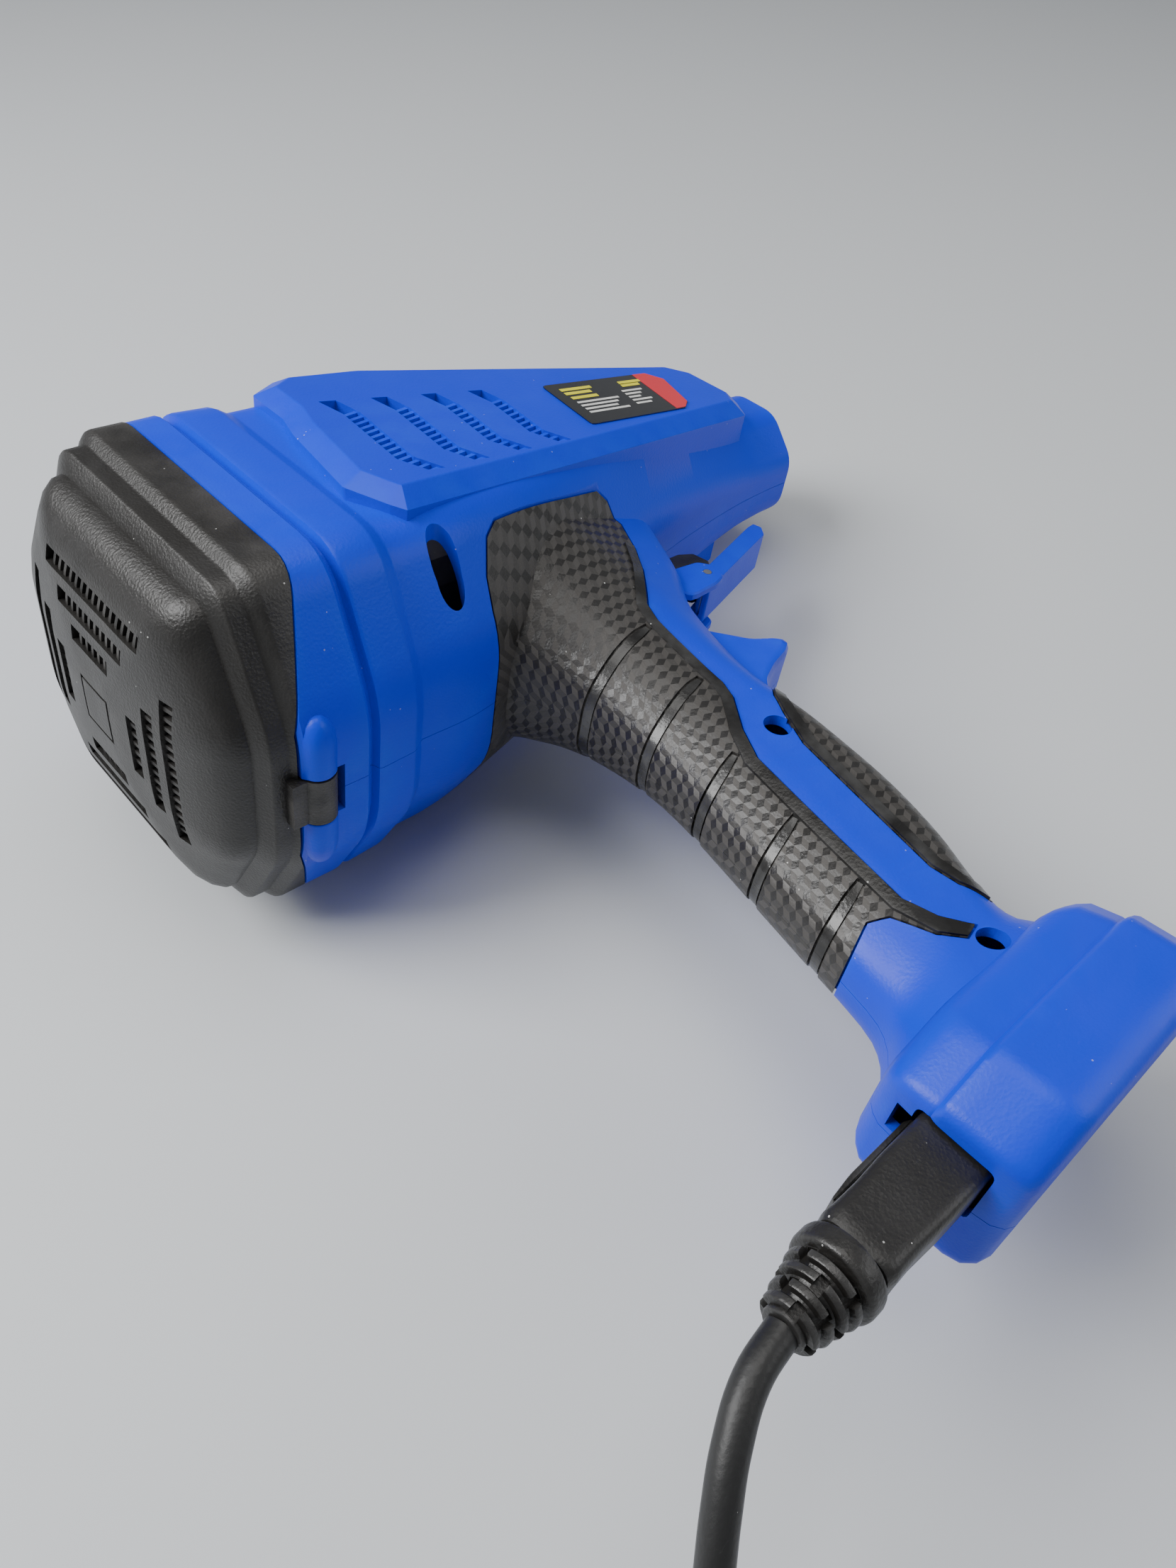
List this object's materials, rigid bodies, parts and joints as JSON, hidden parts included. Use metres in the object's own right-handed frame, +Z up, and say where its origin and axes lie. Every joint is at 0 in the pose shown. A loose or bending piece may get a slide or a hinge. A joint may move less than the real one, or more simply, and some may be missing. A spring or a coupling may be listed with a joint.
{
  "type": "corded paint sprayer power unit",
  "caption": "Corded hand-held blower body of a paint sprayer: tapered motor housing with hinged filter cover, rubber grip, stepped foot and plug-in mains lead.",
  "frame": {"origin": "centre of the footprint of the tool without its free lead, on the surface it lies on", "axes": "+X along the barrel towards the air outlet, which dips by 8.5 degrees because the tool lies on its sloping left side panel; +Y away from the grip; +Z up, out of the tool's right side"},
  "size_m": [0.4415, 0.4766, 0.1293],
  "materials": {
    "blue_abs": "semi-gloss moulded blue",
    "black_cover": "satin fine grain",
    "grip_rubber": "soft touch with raised block pattern",
    "black_part": "satin",
    "label_print": "glossy printed film",
    "steel": "bright",
    "copper_part": "machined",
    "alloy": "pressed",
    "pin_brass": "bright",
    "foam": "open cell",
    "cord_sheath": "satin",
    "tie_white": "nylon",
    "wire_skin": "insulated wire",
    "film_yellow": "capacitor case",
    "carbon": "carbon block"
  },
  "bodies": {
    "body": {"housing_right": "blue_abs", "housing_left": "blue_abs", "grip_back_right": "grip_rubber", "grip_back_left": "grip_rubber", "grip_front_right": "grip_rubber", "grip_front_left": "grip_rubber", "motor_ring": "grip_rubber", "filter_frame": "black_part", "fan_case": "black_part", "end_bell_front": "black_part", "outlet_tube": "black_part", "switch_body": "black_part", "inlet_socket": "black_part", "filter_foam": "foam", "housing_screw_1": "steel", "housing_screw_2": "steel", "housing_screw_3": "steel", "housing_screw_4": "steel", "hinge_pin": "steel", "lever_pin": "steel", "motor_can": "steel", "field_core": "steel", "bearing_rear": "steel", "bearing_front": "steel", "end_bell_rear": "steel", "brush_upper": "carbon", "brush_lower": "carbon", "capacitor": "film_yellow", "lead_live": "wire_skin", "lead_neutral": "wire_skin", "motor_lead_live": "wire_skin", "motor_lead_neutral": "wire_skin", "rating_label": "label_print", "inlet_pin_live": "pin_brass", "inlet_pin_neutral": "pin_brass", "plug_blade_live": "pin_brass", "plug_blade_neutral": "pin_brass", "lead_connector": "cord_sheath", "locking_tab": "cord_sheath", "strain_relief": "cord_sheath", "mains_lead": "cord_sheath", "lead_coil": "cord_sheath", "plug_lead": "cord_sheath", "mains_plug": "cord_sheath", "cable_tie": "tie_white"},
    "cover": {"filter_cover": "black_cover"},
    "rotor": {"rotor_shaft": "steel", "impeller": "alloy", "impeller_nut": "steel", "armature": "copper_part", "commutator": "copper_part"},
    "button": {"switch_button": "black_part", "switch_stem": "steel"},
    "lever": {"release_lever": "blue_abs"}
  },
  "joints": [
    {"name": "cover_hinge", "type": "hinge", "parent": "body", "child": "cover", "pos_m": [-0.11174, 0.0334, 0.06932], "axis": [0.1483, 0, 0.9889], "range_deg": [0, 100]},
    {"name": "rotor_spin", "type": "hinge", "parent": "body", "child": "rotor", "pos_m": [-0.03855, 0.0965, 0.05834], "axis": [0.9889, 0, -0.1483], "continuous": true},
    {"name": "button_slide", "type": "slide", "parent": "body", "child": "button", "axis": [-0.9889, 0, 0.1483], "range_m": [0, 0.004], "stiffness_N_per_m": 600, "springref_m": -0.001},
    {"name": "lever_hinge", "type": "hinge", "parent": "body", "child": "lever", "pos_m": [0.04699, 0.0404, 0.04551], "axis": [0.1483, 0, 0.9889], "range_deg": [0, 8], "stiffness_Nm_per_rad": 0.5, "springref_deg": -5.73}
  ]
}
